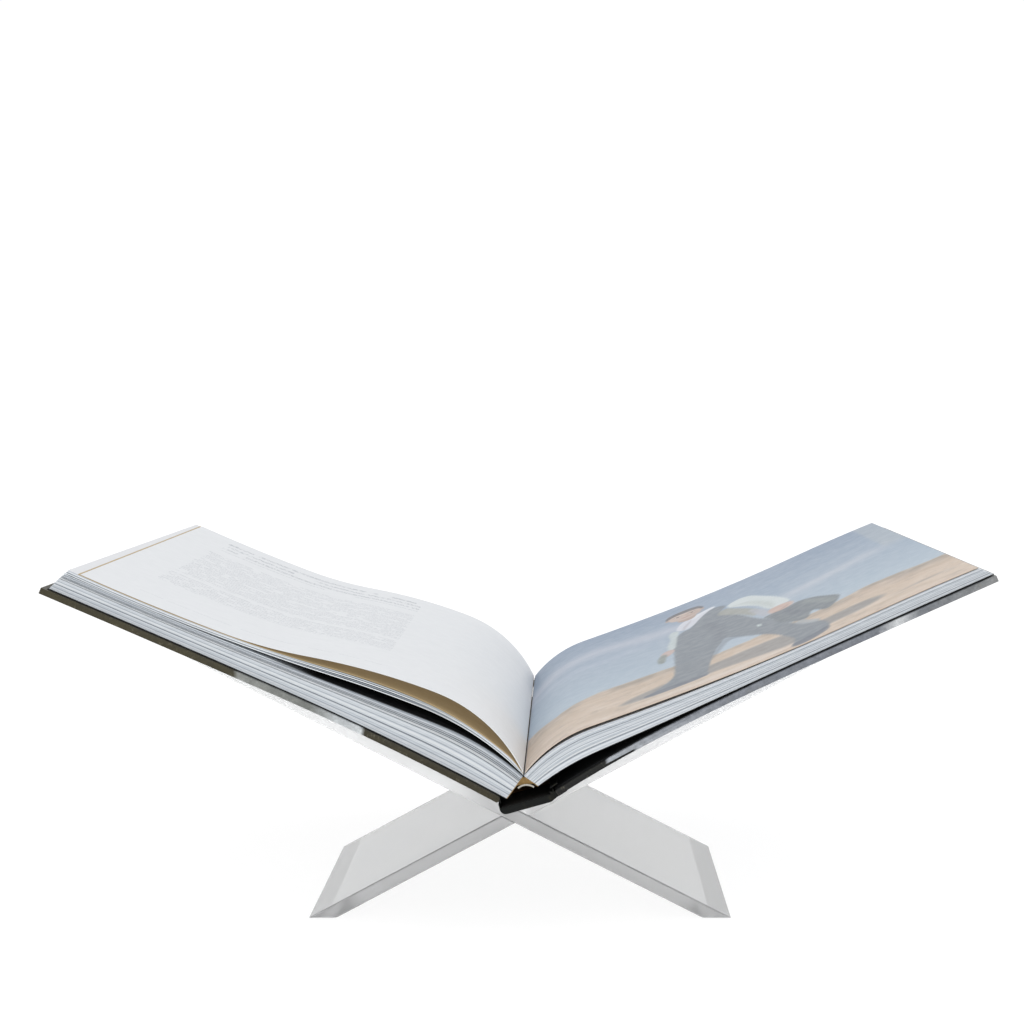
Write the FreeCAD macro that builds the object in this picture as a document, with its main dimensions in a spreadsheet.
"""Open album on a crossed acrylic stand, in millimetres, +Z up.

Two clear boards cross in a half-lap joint and stand on bevelled feet. An open hardcover album lies
in the upper V. The origin is on the table, under the middle of the album. The front cover is on the
-X side, the back cover is on the +X side, and every page runs along Y.
"""
import FreeCAD, Part
import math
import os

import Sketcher
from FreeCAD import Rotation, Vector

# Driving dimensions: alias, value, meaning. Lengths are in mm and angles in degrees.
SIZES = [
    ("board_thick", 7.0, "acrylic board thickness"),
    ("board_depth", 153.5, "acrylic board size along Y"),
    ("board_mid", -44.75, "Y of the middle of the boards"),
    ("cross_out", -3.0, "X of the line where the boards cross"),
    ("cross_height", 54.25, "height of the line where the boards cross"),
    ("lean_rising", 28.2, "slope of the board that rises towards the back cover"),
    ("lean_falling", 27.1, "slope of the board that rises towards the front cover"),
    ("arm_length", 190.0, "board length from the crossing to the arm's end"),
    ("slot_play", 0.08, "gap on each face of a board inside the other board's slot"),
    ("edge_chamfer", 0.7, "polished chamfer round each board"),
    ("page_width", 251.0, "page size from the spine to the fore edge"),
    ("page_depth", 318.0, "page size along Y"),
    ("cover_depth", 323.0, "cover size along Y"),
    ("cover_reach", 238.5, "distance of both fore edges of the covers from the middle"),
    ("wrap_thick", 0.4, "printed wrap round the cover boards"),
    ("cover_board_thick", 2.4, "greyboard inside the covers"),
    ("turn_in_thick", 0.3, "wrap folded over the inner face"),
    ("turn_in_width", 15.0, "width of the folded wrap"),
    ("sheet_thick", 0.3, "endpapers and single leaves"),
    ("leaf_thick", 0.5, "each leaf of the small raised bundle"),
    ("paper_gap", 0.05, "air between sheets that lie on each other"),
    ("bundle_stiff_from", 64.5, "distance from the gutter at which the raised bundle is stiff"),
    ("text_stiff_from", 65.5, "distance from the gutter at which the text leaf is stiff"),
    ("picture_stiff_from", 62.5, "distance from the gutter at which the picture leaf is stiff"),
    ("bundle_root_from", 9.0, "distance from the gutter at which the bundle's root begins"),
    ("text_root_from", 2.0, "distance from the gutter at which the text leaf's root begins"),
    ("picture_root_from", 1.5, "distance from the gutter at which the picture leaf's root begins"),
    ("front_cover_from", 4.0, "distance along its profile at which the front cover begins"),
    ("back_cover_from", 4.6, "distance along its profile at which the back cover begins"),
    ("liner_from", 1.0, "distance from the gutter at which the spine edge liners begin"),
    ("gutter_out", 2.35, "X of the gutter where the pages meet"),
    ("gutter_height", 83.45, "height of the gutter"),
    ("spine_out", 5.1, "X of the middle of the spine's outer face"),
    ("spine_height", 67.45, "height of the middle of the spine's outer face"),
    ("spine_tilt", 15.7, "slope of the spine, which rises towards the back cover"),
    ("spine_width", 28.6, "outer width of the spine"),
    ("spine_wall", 6.0, "height of the spine cloth's turned-up ends"),
    ("spine_round", 3.2, "outer corner radius of the spine cloth"),
    ("cloth_thick", 0.5, "spine and hinge cloth"),
    ("spine_board_thick", 3.0, "board inside the spine"),
    ("spine_board_width", 23.0, "width of the board inside the spine"),
    ("front_hinge_out", 9.2, "distance out of the front hinge cloth"),
    ("front_hinge_height", 69.9, "height of the front hinge cloth"),
    ("front_hinge_slope", 65.0, "slope of the front hinge cloth"),
    ("front_hinge_width", 1.8, "width of the front hinge cloth"),
    ("back_hinge_out", 15.8, "distance out of the back hinge cloth"),
    ("back_hinge_height", 77.4, "height of the back hinge cloth"),
    ("back_hinge_slope", 34.0, "slope of the back hinge cloth"),
    ("back_hinge_width", 4.5, "width of the back hinge cloth"),
    ("band_out", 3.55, "X of the middle of the head and tail bands"),
    ("band_height", 77.65, "height of the lower ends of the head and tail bands"),
    ("band_tilt", 4.0, "slope of the head and tail bands"),
    ("band_depth", 3.0, "size along Y of the head and tail bands"),
    ("band_width", 8.0, "width of the head and tail bands"),
    ("band_rise", 1.4, "arch of the head and tail bands"),
    ("band_thick", 0.9, "thickness of the head and tail bands"),
]

# Profiles are chains of tangent arcs in a side view. Each starts at a distance out from the middle
# and a height, sets off at a slope, and goes on in runs of (length, turn in degrees).
PROFILES = {
    "front_cover": (8.0, 68.5, 28.55, [(60.0, -2.2), (65.0, -2.4), (129.0, -0.7)]),
    "front_block": (-2.3, 83.4, 42.0, [(49.0, -20.4), (70.0, -0.6), (132.0, 3.0)]),
    "bundle": (-2.3, 83.7, 45.9, [(62.0, -24.2), (47.0, -4.1), (28.0, 1.6), (114.0, 5.5)]),
    "text_leaf": (-2.3, 84.2, 65.4, [(62.0, -44.4), (66.4, -10.5), (45.0, 10.5), (77.6, 3.2)]),
    "back_cover": (16.0, 71.25, 33.0, [(67.0, -5.7), (69.0, -2.6), (113.0, -0.8)]),
    "back_block_base": (9.7, 78.2, 38.3, [(34.0, -14.9), (77.0, 1.6), (140.0, -1.2)]),
    "back_block": (2.5, 83.2, 51.0, [(42.0, -31.9), (61.0, 3.0), (91.0, 2.9), (57.0, -2.8)]),
    "picture_leaf": (2.4, 83.6, 53.6, [(42.0, -34.3), (61.0, 1.9), (91.0, 3.85), (57.0, -2.8)]),
}

FRONT, BACK = -1, 1
FRONT_SECTIONS = 6
BACK_SECTIONS = 4
BUNDLE_LEAVES = 4

doc = FreeCAD.newDocument("AlbumStand")
sheet = doc.addObject("Spreadsheet::Sheet", "Sizes")
sheet_row = 0


def add_cell(alias, value, meaning):
    """Write one named number into the sheet."""
    global sheet_row
    sheet_row += 1
    sheet.set(f"A{sheet_row}", meaning)
    sheet.set(f"B{sheet_row}", str(value))
    sheet.setAlias(f"B{sheet_row}", alias)


def size(alias):
    """Read one named number from the sheet."""
    return float(sheet.get(alias))


class Profile:
    """A chain of tangent arcs: a start, a slope in degrees and runs of (length, turn)."""

    def __init__(self, out, height, slope, runs):
        self.out, self.height, self.slope = out, height, slope
        self.runs = [tuple(run) for run in runs]

    def length(self):
        return sum(run[0] for run in self.runs)

    def nodes(self):
        """The (start, middle, end) points of each run as (out, height) pairs."""
        out, height, slope = self.out, self.height, math.radians(self.slope)
        triples = []
        for length, turn in self.runs:
            points = [(out, height)]
            for part in (0.5, 1.0):
                swing = math.radians(turn) * part
                straight = length * part
                if abs(swing) > 1e-9:
                    straight *= math.sin(swing / 2) / (swing / 2)
                course = slope + swing / 2
                points.append((out + straight * math.cos(course), height + straight * math.sin(course)))
            triples.append(points)
            out, height = points[2]
            slope += math.radians(turn)
        return triples

    def end(self):
        return self.nodes()[-1][2]

    def offset(self, distance):
        """The parallel chain at a distance above this one."""
        slope = math.radians(self.slope)
        runs = [(length - math.radians(turn) * distance, turn) for length, turn in self.runs]
        out = self.out - distance * math.sin(slope)
        return Profile(out, self.height + distance * math.cos(slope), self.slope, runs)

    def trim(self, start, stop):
        """The stretch from one distance along the chain to another."""
        position, slope, kept, origin = 0.0, self.slope, [], None
        for (length, turn), points in zip(self.runs, self.nodes()):
            low, high = max(start - position, 0.0), min(stop - position, length)
            if high - low > 1e-6:
                if origin is None:
                    lead = Profile(*points[0], slope, [(max(low, 1e-9), turn * low / length)])
                    origin = (*lead.end(), slope + turn * low / length)
                kept.append((high - low, turn * (high - low) / length))
            position += length
            slope += turn
        return Profile(*origin, kept)

    def reach(self, out):
        """The length along the chain at which it is this far out."""
        low, high = 0.0, self.length()
        for _ in range(50):
            middle = (low + high) / 2
            if self.trim(0, middle).end()[0] < out:
                low = middle
            else:
                high = middle
        return low

    def blend(self, other, share):
        """A chain part of the way from this one to another with as many runs."""
        def mix(here, there):
            return here + (there - here) * share
        runs = [(mix(a[0], b[0]), mix(a[1], b[1])) for a, b in zip(self.runs, other.runs)]
        return Profile(mix(self.out, other.out), mix(self.height, other.height),
                       mix(self.slope, other.slope), runs)


def store_profile(name, out, height, slope, runs):
    """Write a profile's numbers into the sheet."""
    add_cell(f"{name}_start_out", out, f"{name}: distance out of its start")
    add_cell(f"{name}_start_height", height, f"{name}: height of its start")
    add_cell(f"{name}_start_slope", slope, f"{name}: slope at its start")
    for index, (length, turn) in enumerate(runs, 1):
        add_cell(f"{name}_run_{index}", length, f"{name}: length of run {index}")
        add_cell(f"{name}_turn_{index}", turn, f"{name}: turn over run {index}")


def profile(name):
    """Read a profile back from the sheet."""
    count = len(PROFILES[name][3])
    runs = [(size(f"{name}_run_{i}"), size(f"{name}_turn_{i}")) for i in range(1, count + 1)]
    start = [size(f"{name}_start_{key}") for key in ("out", "height", "slope")]
    return Profile(*start, runs)


def new_body(label):
    body = doc.addObject("PartDesign::Body", label)
    body.Label = label
    return body


def new_sketch(body, name):
    """An empty sketch on the body's own XZ plane: X stays X, and up is Z."""
    plane = next(f for f in body.Origin.OriginFeatures if f.Role == "XZ_Plane")
    sketch = body.newObject("Sketcher::SketchObject", name)
    sketch.AttachmentSupport = [(plane, "")]
    sketch.MapMode = "FlatFace"
    return sketch


def extrude(body, kind, sketch, length):
    """Add a Pad or Pocket of a sketch, half its length to each side of the XZ plane."""
    feature = body.newObject(f"PartDesign::{kind}", f"{sketch.Name}_{kind}")
    feature.Profile = sketch
    feature.SideType = "Symmetric"
    feature.setExpression("Length", length)
    doc.recompute()
    return feature


def draw_polygon(sketch, corners):
    """A closed polygon whose corner coordinates are expressions of the sheet."""
    values = [[float(sketch.evalExpression(term)) for term in corner] for corner in corners]
    count = len(corners)
    for i in range(count):
        start, stop = values[i], values[(i + 1) % count]
        sketch.addGeometry(Part.LineSegment(Vector(*start, 0), Vector(*stop, 0)))
    for i in range(count):
        sketch.addConstraint(Sketcher.Constraint("Coincident", i, 2, (i + 1) % count, 1))
    for i, (corner, value) in enumerate(zip(corners, values)):
        for axis, term, number in zip("XY", corner, value):
            index = sketch.addConstraint(
                Sketcher.Constraint(f"Distance{axis}", -1, 1, i, 1, number))
            sketch.setExpression(f"Constraints[{index}]", term)


def draw_band(sketch, low, high, side):
    """The closed outline between two profiles, drawn out to the front or back cover's side."""
    def place(point):
        return Vector(side * point[0], point[1], 0)

    def draw(a, middle, b):
        bow = abs((middle - a).cross(b - a).z)
        if bow < 1e-6:
            sketch.addGeometry(Part.LineSegment(a, b))
        else:
            sketch.addGeometry(Part.Arc(a, middle, b))

    lower = [[place(p) for p in triple] for triple in low.nodes()]
    upper = [[place(p) for p in triple] for triple in high.nodes()]
    for triple in lower + upper:
        draw(*triple)
    sketch.addGeometry(Part.LineSegment(lower[-1][2], upper[-1][2]))
    sketch.addGeometry(Part.LineSegment(upper[0][0], lower[0][0]))


def band_body(label, low, high, side, depth):
    """A bent sheet or block between two profiles, as deep along Y as an expression says."""
    body = new_body(label)
    sketch = new_sketch(body, f"{label}_outline")
    draw_band(sketch, low, high, side)
    extrude(body, "Pad", sketch, depth)
    return body


def cut_band(body, name, low, high, side, depth):
    """Pocket the space between two profiles out of a body, and check that it removed material."""
    before = body.Shape.Volume
    sketch = new_sketch(body, name)
    draw_band(sketch, low, high, side)
    extrude(body, "Pocket", sketch, depth)
    if not body.Shape.Volume < before - 1:
        raise RuntimeError(f"{name} cuts nothing")


def stand_board(label, lean, rises, slot_side):
    """One acrylic board with a bevelled foot, chamfered edges and a half-lap slot.

    The board lies along its own X, and its origin is on the crossing. rises is 1 when the arm goes
    up towards +X and -1 when it goes up towards -X. slot_side is -1 when the slot opens to -Y.
    """
    half = "Sizes.board_thick / 2"
    foot_top = f"-(Sizes.cross_height + {half} * cos(Sizes.{lean})) / sin(Sizes.{lean})"
    foot_low = f"-(Sizes.cross_height - {half} * cos(Sizes.{lean})) / sin(Sizes.{lean})"
    body = new_body(label)
    outline = new_sketch(body, f"{label}_outline")
    corners = [(foot_low, f"-{half}"), ("Sizes.arm_length", f"-{half}"),
               ("Sizes.arm_length", half), (foot_top, half)]
    if rises < 0:
        corners = [(f"-({out})", height) for out, height in corners]
    draw_polygon(outline, corners)
    pad = extrude(body, "Pad", outline, "Sizes.board_depth")
    chamfer = body.newObject("PartDesign::Chamfer", f"{label}_chamfer")
    chamfer.Base = (pad, [f"Edge{i + 1}" for i in range(len(pad.Shape.Edges))])
    chamfer.setExpression("Size", "Sizes.edge_chamfer")
    doc.recompute()

    # The slot is the other board's strip, which crosses at the sum of both slopes.
    angle = "(Sizes.lean_rising + Sizes.lean_falling)"
    past = "(Sizes.board_thick)"
    gap = "(Sizes.board_thick / 2 + Sizes.slot_play)"
    slot = new_sketch(body, f"{label}_slot")
    slot_corners = []
    for across, up in ((-1, -1), (1, -1), (1, 1), (-1, 1)):
        shift = f"{across * rises} * {gap} / sin{angle}"
        slide = f"{-up * rises} * {past} / tan{angle}"
        slot_corners.append((f"{shift} + {slide}", f"{up} * {past}"))
    draw_polygon(slot, slot_corners)
    before = body.Shape.Volume
    pocket = body.newObject("PartDesign::Pocket", f"{label}_slot_pocket")
    pocket.Profile = slot
    pocket.Reversed = slot_side < 0
    pocket.setExpression("Length", "Sizes.board_depth")
    slot.setExpression("AttachmentOffset.Base.z", f"{slot_side} * Sizes.slot_play / 2")
    doc.recompute()
    share = (before - body.Shape.Volume) / before
    if not 0.005 < share < 0.05:
        raise RuntimeError(f"{label}: the slot takes {share:.3f} of the board")

    body.setExpression("Placement.Base.x", "Sizes.cross_out")
    body.setExpression("Placement.Base.y", "Sizes.board_mid")
    body.setExpression("Placement.Base.z", "Sizes.cross_height")
    body.Placement.Rotation = Rotation(Vector(0, 1, 0), -rises * size(lean))
    return body


def cover_case(name, side, cover):
    """The board, wrap and pastedown of one cover."""
    wrap, board = size("wrap_thick"), size("cover_board_thick")
    turn_in, sheet_t = size("turn_in_thick"), size("sheet_thick")
    inner, face = wrap + board, wrap + board + turn_in
    whole = cover.trim(size(f"{name}_cover_from"), cover.reach(size("cover_reach")))
    length = whole.length()
    board_line = whole.trim(0, length - wrap)
    window = whole.trim(0, length - size("turn_in_width"))

    band_body(f"{name}_cover_board", board_line.offset(wrap), board_line.offset(inner), side,
              "Sizes.cover_depth - 2 * Sizes.wrap_thick")
    wrapper = band_body(f"{name}_cover_wrap", whole, whole.offset(face), side, "Sizes.cover_depth")
    cut_band(wrapper, f"{name}_wrap_cavity", board_line.offset(wrap), board_line.offset(inner),
             side, "Sizes.cover_depth - 2 * Sizes.wrap_thick")
    cut_band(wrapper, f"{name}_wrap_window", window.offset(inner), window.offset(face), side,
             "Sizes.cover_depth - 2 * Sizes.turn_in_width")

    margin = (size("cover_depth") - size("page_depth")) / 2
    paper = whole.trim(0, length - margin)
    pastedown = band_body(f"{name}_pastedown", paper.offset(face), paper.offset(face + sheet_t),
                          side, "Sizes.page_depth")
    filler = new_sketch(pastedown, f"{name}_filler_outline")
    draw_band(filler, window.offset(inner), window.offset(face), side)
    extrude(pastedown, "Pad", filler, "Sizes.cover_depth - 2 * Sizes.turn_in_width")


def sections(name, side, count, low, high):
    """Sewn sections that fill the space between two profiles, numbered from the cover up."""
    for index in range(count):
        lower = low.blend(high, index / count)
        upper = low.blend(high, (index + 1) / count)
        band_body(f"{name}_section_{index + 1}", lower, upper, side, "Sizes.page_depth")


def leaf(name, side, low, thickness, start, root_start=None):
    """A leaf, stiff from start to the fore edge, and its bending root as a second solid."""
    high = low.offset(thickness)
    width = size("page_width")
    band_body(name, low.trim(start, width), high.trim(start, width), side, "Sizes.page_depth")
    if root_start is not None:
        stop = start - 2 * size("leaf_thick")
        band_body(f"{name}_root", low.trim(root_start, stop), high.trim(root_start, stop), side,
                  "Sizes.page_depth")


def spine_edge_liner(name, side, top, bottom):
    """The glued lining on the back edges of one half of the page block."""
    run = (bottom[0] - top[0], bottom[1] - top[1])
    edge = Profile(*top, math.degrees(math.atan2(run[1], run[0])), [(math.hypot(*run), 0)])
    edge = edge.trim(size("liner_from"), edge.length())
    gap, thick = size("paper_gap"), size("turn_in_thick")
    band_body(f"{name}_spine_liner", edge.offset(-gap - thick), edge.offset(-gap), side,
              "Sizes.page_depth")


def place_on_spine(body):
    """Put a body drawn level, with its origin under the spine's middle, at the spine's tilt."""
    body.setExpression("Placement.Base.x", "Sizes.spine_out")
    body.setExpression("Placement.Base.z", "Sizes.spine_height")
    body.Placement.Rotation = Rotation(Vector(0, 1, 0), -size("spine_tilt"))


def spine_plate(label, width, low, high):
    """A flat strip inside the spine between two heights over its outer face."""
    body = new_body(label)
    sketch = new_sketch(body, f"{label}_outline")
    draw_polygon(sketch, [(f"-{width} / 2", low), (f"{width} / 2", low),
                          (f"{width} / 2", high), (f"-{width} / 2", high)])
    extrude(body, "Pad", sketch, "Sizes.cover_depth - 2 * Sizes.cloth_thick")
    place_on_spine(body)
    return body


def spine_cloth():
    """The cloth that forms the outside of the spine, a channel with rounded corners."""
    body = new_body("spine_cloth")
    outer, wall = size("spine_width") / 2, size("spine_wall")
    radius, thick = size("spine_round"), size("cloth_thick")
    sketch = new_sketch(body, "spine_cloth_outline")

    def channel(inset):
        """One face of the cloth as points from the left top round to the right top."""
        edge, bend, base = outer - inset, radius - inset, inset
        slant = bend * (1 - math.sqrt(0.5))
        left = [(-edge, wall), (-edge, base + bend), (-edge + slant, base + slant),
                (-edge + bend, base)]
        right = [(-out, height) for out, height in reversed(left)]
        return [Vector(*point, 0) for point in left + right]

    for points in (channel(0), channel(thick)):
        sketch.addGeometry(Part.LineSegment(points[0], points[1]))
        sketch.addGeometry(Part.Arc(points[1], points[2], points[3]))
        sketch.addGeometry(Part.LineSegment(points[3], points[4]))
        sketch.addGeometry(Part.Arc(points[4], points[5], points[6]))
        sketch.addGeometry(Part.LineSegment(points[6], points[7]))
    for end in (0, -1):
        sketch.addGeometry(Part.LineSegment(channel(0)[end], channel(thick)[end]))
    extrude(body, "Pad", sketch, "Sizes.cover_depth")
    place_on_spine(body)


def hinge_cloth(name, side):
    """The cloth strip that joins the spine to one cover."""
    out, height, slope, width = (size(f"{name}_hinge_{key}")
                                 for key in ("out", "height", "slope", "width"))
    strip = Profile(out, height, slope, [(width, 0)])
    band_body(f"{name}_hinge_cloth", strip, strip.offset(size("cloth_thick")), side,
              "Sizes.cover_depth")


def end_band(label, place):
    """The small arched band sewn across the hollow at one end of the spine."""
    body = new_body(label)
    half, rise, thick = size("band_width") / 2, size("band_rise"), size("band_thick")
    sketch = new_sketch(body, f"{label}_outline")
    faces = [[Vector(-half, drop, 0), Vector(0, rise + drop, 0), Vector(half, drop, 0)]
             for drop in (0, -thick)]
    for face in faces:
        sketch.addGeometry(Part.Arc(*face))
    for end in (0, 2):
        sketch.addGeometry(Part.LineSegment(faces[0][end], faces[1][end]))
    extrude(body, "Pad", sketch, "Sizes.band_depth")
    body.setExpression("Placement.Base.x", "Sizes.band_out")
    body.setExpression("Placement.Base.y", f"{place} * (Sizes.page_depth - Sizes.band_depth) / 2")
    body.setExpression("Placement.Base.z", "Sizes.band_height")
    body.Placement.Rotation = Rotation(Vector(0, 1, 0), -size("band_tilt"))


def build_stand():
    stand_board("rising_board", "lean_rising", 1, -1)
    stand_board("falling_board", "lean_falling", -1, 1)


def build_spine():
    cloth, board = "Sizes.cloth_thick", "Sizes.spine_board_thick"
    spine_plate("spine_board", "Sizes.spine_board_width", f"{cloth} + Sizes.paper_gap",
                f"{cloth} + {board}")
    spine_plate("spine_lining", "(Sizes.spine_width - 4 * Sizes.cloth_thick)",
                f"{cloth} + {board} + Sizes.paper_gap",
                f"{cloth} + {board} + Sizes.turn_in_thick")
    spine_cloth()
    hinge_cloth("front", FRONT)
    hinge_cloth("back", BACK)
    end_band("tail_band", -1)
    end_band("head_band", 1)


def build_front_half():
    """Front cover, the left half of the page block and the leaves raised over it."""
    width, air, thin = size("page_width"), size("paper_gap"), size("sheet_thick")
    cover = profile("front_cover")
    cover_case("front", FRONT, cover)
    inside = sum(size(a) for a in ("wrap_thick", "cover_board_thick", "turn_in_thick")) + thin
    flyleaf = cover.offset(inside + air).trim(0, width)
    band_body("front_flyleaf", flyleaf, flyleaf.offset(thin), FRONT, "Sizes.page_depth")
    base = cover.offset(inside + 2 * air + thin).trim(0, width)
    top = profile("front_block").trim(0, width)
    band_body("black_leaf", top.offset(-thin), top, FRONT, "Sizes.page_depth")
    sections("front", FRONT, FRONT_SECTIONS, base, top.offset(-thin - air))
    spine_edge_liner("front", FRONT, (top.out, top.height), (base.out, base.height))

    bundle = profile("bundle")
    leaf_t = size("leaf_thick")
    start = size("bundle_stiff_from")
    for index in range(BUNDLE_LEAVES):
        low = bundle.offset(index * leaf_t)
        leaf(f"bundle_leaf_{index + 1}", FRONT, low, leaf_t - air, start)
    tan_low = bundle.offset(BUNDLE_LEAVES * leaf_t)
    leaf("tan_leaf", FRONT, tan_low, thin, start)
    root = bundle.trim(size("bundle_root_from"), start - 3 * leaf_t)
    band_body("bundle_root", root, root.offset(BUNDLE_LEAVES * leaf_t + thin), FRONT,
              "Sizes.page_depth")
    leaf("text_leaf", FRONT, profile("text_leaf"), thin, size("text_stiff_from"),
         size("text_root_from"))


def build_back_half():
    """Back cover, the right half of the page block and the picture leaf on top."""
    width, air, thin = size("page_width"), size("paper_gap"), size("sheet_thick")
    cover_case("back", BACK, profile("back_cover"))
    base = profile("back_block_base").trim(0, width)
    top = profile("back_block").trim(0, width)
    flyleaf = base.offset(-air - thin)
    band_body("back_flyleaf", flyleaf, flyleaf.offset(thin), BACK, "Sizes.page_depth")
    last_length, last_turn = base.runs[-1]
    base.runs[-1:] = [(last_length / 2, last_turn / 2)] * 2
    sections("back", BACK, BACK_SECTIONS, base, top)
    spine_edge_liner("back", BACK, (top.out, top.height), (base.out, base.height))
    leaf("picture_leaf", BACK, profile("picture_leaf"), thin, size("picture_stiff_from"),
         size("picture_root_from"))


def export():
    """Check every object and write one STEP file for each body."""
    doc.recompute()
    for item in doc.Objects:
        if "Invalid" in item.State or "Error" in item.State:
            raise RuntimeError(f"{item.Label}: {item.State}")
    os.makedirs("parts", exist_ok=True)
    bodies = [item for item in doc.Objects if item.isDerivedFrom("PartDesign::Body")]
    for body in bodies:
        if body.Shape.isNull() or not body.Shape.isValid() or len(body.Shape.Solids) != 1:
            raise RuntimeError(f"{body.Label}: bad shape")
        body.Shape.exportStep(f"parts/{body.Label}.step")
        box = body.Shape.BoundBox
        print(f"{body.Label:22} {body.Shape.Volume / 1000:8.1f} cm3  X {box.XMin:7.1f} {box.XMax:7.1f}"
              f"  Y {box.YMin:7.1f} {box.YMax:7.1f}  Z {box.ZMin:6.1f} {box.ZMax:6.1f}")


for size_cell in SIZES:
    add_cell(*size_cell)
for profile_name, numbers in PROFILES.items():
    store_profile(profile_name, *numbers)
doc.recompute()
build_stand()
build_spine()
build_front_half()
build_back_half()
export()
